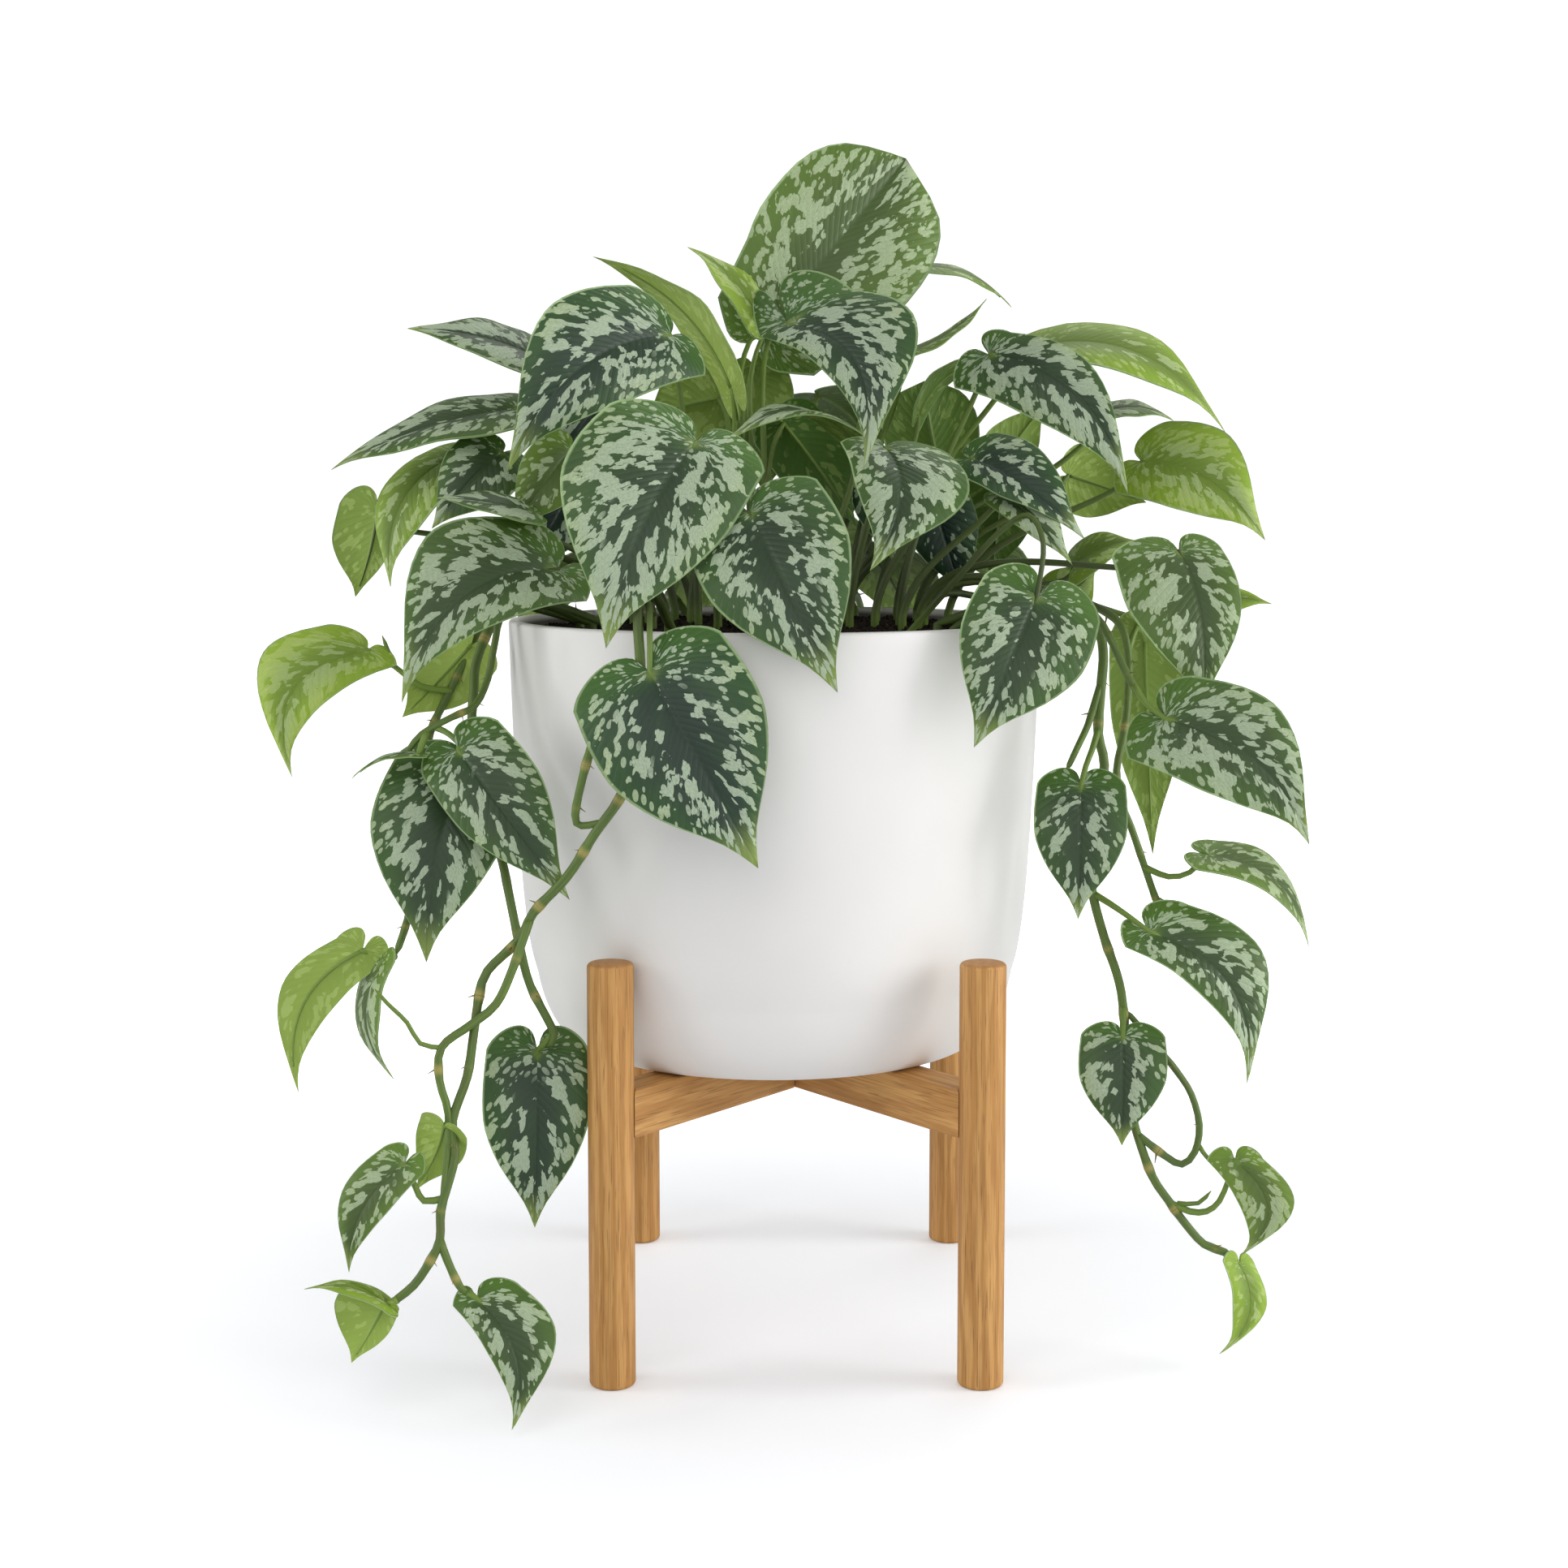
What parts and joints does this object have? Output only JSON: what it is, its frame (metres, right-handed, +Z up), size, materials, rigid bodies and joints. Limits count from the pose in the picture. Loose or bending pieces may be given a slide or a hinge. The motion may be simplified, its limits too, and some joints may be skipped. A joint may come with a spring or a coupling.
{
  "type": "potted satin pothos",
  "caption": "Trailing satin pothos with silver-splashed heart leaves in a round white ceramic pot that rests on a low wooden stand with upright legs and crossed bars.",
  "frame": {"origin": "on the floor under the middle of the plant, pot and stand", "axes": "+Z up, +Y away from the viewer, +X to the viewer's right"},
  "size_m": [0.4717, 0.3447, 0.5608],
  "materials": {
    "oak": "satin",
    "ceramic": "matt glaze",
    "soil": "rough",
    "leaf": "satin"
  },
  "bodies": {
    "root": {"bar_lower": "oak", "bar_upper": "oak", "leafy_stem_arch": "leaf", "leafy_stem_back_high_1": "leaf", "leafy_stem_back_high_2": "leaf", "leafy_stem_back_high_3": "leaf", "leafy_stem_back_high_4": "leaf", "leafy_stem_back_low_1": "leaf", "leafy_stem_back_low_2": "leaf", "leafy_stem_back_low_3": "leaf", "leafy_stem_back_low_4": "leaf", "leafy_stem_back_low_5": "leaf", "leafy_stem_back_low_6": "leaf", "leafy_stem_back_right_high": "leaf", "leafy_stem_heart": "leaf", "leafy_stem_left_dark": "leaf", "leafy_stem_left_flat": "leaf", "leafy_stem_left_green": "leaf", "leafy_stem_left_high": "leaf", "leafy_stem_left_low": "leaf", "leafy_stem_left_reach": "leaf", "leafy_stem_left_under": "leaf", "leafy_stem_left_wing": "leaf", "leafy_stem_middle": "leaf", "leafy_stem_over": "leaf", "leafy_stem_pale": "leaf", "leafy_stem_right_back": "leaf", "leafy_stem_right_dark": "leaf", "leafy_stem_right_edge": "leaf", "leafy_stem_right_fold": "leaf", "leafy_stem_right_front": "leaf", "leafy_stem_right_green": "leaf", "leafy_stem_right_heart": "leaf", "leafy_stem_right_high": "leaf", "leafy_stem_right_inner": "leaf", "leafy_stem_right_low": "leaf", "leafy_stem_right_reach": "leaf", "leafy_stem_right_under": "leaf", "leafy_stem_right_wing": "leaf", "leafy_stem_small_top": "leaf", "leafy_stem_top": "leaf", "leg_back_left": "oak", "leg_back_right": "oak", "leg_front_left": "oak", "leg_front_right": "oak", "pot": "ceramic", "soil": "soil", "vine_back_left": "leaf", "vine_back_right": "leaf", "vine_left_heart": "leaf", "vine_left_long": "leaf", "vine_left_outer": "leaf", "vine_left_side": "leaf", "vine_right_branch": "leaf", "vine_right_front": "leaf", "vine_right_long": "leaf"}
  },
  "joints": []
}
